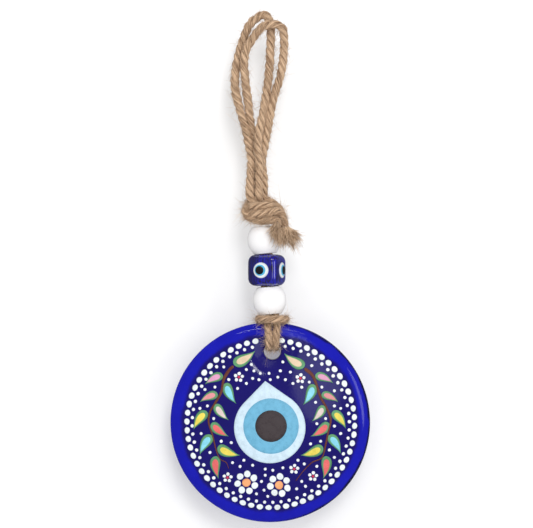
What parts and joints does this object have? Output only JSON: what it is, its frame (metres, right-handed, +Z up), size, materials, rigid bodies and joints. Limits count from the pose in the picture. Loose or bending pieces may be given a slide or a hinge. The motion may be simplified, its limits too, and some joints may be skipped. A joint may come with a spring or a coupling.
{
  "type": "evil eye ornament",
  "caption": "Hanging ornament: a domed glass disc with an enamelled eye, hung on a jute twine loop below wooden beads and a glass cube bead.",
  "frame": {"origin": "the hanging point, at the inside top of the twine loop, in the plane of the twine", "axes": "+Z up, +X to the right seen from the front, the painted front of the disc faces -Y"},
  "size_m": [0.08, 0.0197, 0.2049],
  "materials": {
    "cobalt_glass": "cast glass, glossy",
    "bead_glass": "lampworked glass, glossy",
    "white_enamel": "fused enamel, satin gloss",
    "pale_blue_enamel": "fused enamel, satin gloss",
    "dark_enamel": "fused enamel, satin gloss",
    "brown_enamel": "fused enamel, satin gloss",
    "green_enamel": "fused enamel, satin gloss",
    "peach_enamel": "fused enamel, satin gloss",
    "pink_enamel": "fused enamel, satin gloss",
    "rose_enamel": "fused enamel, satin gloss",
    "cream_enamel": "fused enamel, satin gloss",
    "yellow_enamel": "fused enamel, satin gloss",
    "red_enamel": "fused enamel, satin gloss",
    "crimson_enamel": "fused enamel, satin gloss",
    "orange_enamel": "fused enamel, satin gloss",
    "painted_wood": "white paint, semi-matt",
    "jute_twine": "natural jute, hairy"
  },
  "bodies": {
    "loop": {"loop_strand_outer": "jute_twine", "loop_strand_inner": "jute_twine"},
    "knot": {"knot": "jute_twine", "tail_front": "jute_twine", "tail_side": "jute_twine"},
    "string": {"string_left": "jute_twine", "string_right": "jute_twine"},
    "upper_bead": {"upper_bead": "painted_wood"},
    "cube_bead": {"cube_bead": "bead_glass", "cube_eye_whites": "white_enamel", "cube_eye_blues": "pale_blue_enamel", "cube_eye_blacks": "dark_enamel"},
    "lower_bead": {"lower_bead": "painted_wood"},
    "disc": {"glass_disc": "cobalt_glass", "eye_drop": "white_enamel", "eye_iris": "pale_blue_enamel", "eye_pupil": "dark_enamel", "rim_dots": "white_enamel", "inner_dots": "white_enamel", "loose_dots": "white_enamel", "branch_left": "brown_enamel", "branch_right": "brown_enamel", "leaf_outlines": "green_enamel", "leaf_fill_peach": "peach_enamel", "leaf_fill_pink": "pink_enamel", "leaf_fill_rose": "rose_enamel", "leaf_fill_blue": "pale_blue_enamel", "leaf_fill_cream": "cream_enamel", "leaf_fill_yellow": "yellow_enamel", "leaf_fill_red": "red_enamel", "small_petals": "white_enamel", "small_flower_centres": "crimson_enamel", "large_petals": "white_enamel", "large_flower_centres": "orange_enamel", "hitch_cord": "jute_twine"}
  },
  "joints": [
    {"name": "cord_twist", "type": "hinge", "parent": "loop", "child": "knot", "pos_m": [-0.0043, 0, -0.0668], "axis": [0, 0, 1], "range_deg": [-180, 180], "stiffness_Nm_per_rad": 0.002},
    {"name": "string_swing", "type": "hinge", "parent": "knot", "child": "string", "pos_m": [-0.0024, 0, -0.0781], "axis": [0, 1, 0], "range_deg": [-10, 10], "stiffness_Nm_per_rad": 0.03},
    {"name": "disc_tilt", "type": "hinge", "parent": "string", "child": "disc", "pos_m": [0.0013, -0.002, -0.1153], "axis": [1, 0, 0], "range_deg": [-10, 10]},
    {"name": "upper_bead_spin", "type": "hinge", "parent": "string", "child": "upper_bead", "pos_m": [-0.0024, 0, -0.0781], "axis": [-0.0872, 0, 0.9962], "continuous": true},
    {"name": "cube_bead_spin", "type": "hinge", "parent": "string", "child": "cube_bead", "pos_m": [-0.00084, 0, -0.0959], "axis": [0, 0, 1], "continuous": true},
    {"name": "lower_bead_spin", "type": "hinge", "parent": "string", "child": "lower_bead", "pos_m": [-0.0024, 0, -0.0781], "axis": [-0.0872, 0, 0.9962], "continuous": true}
  ]
}
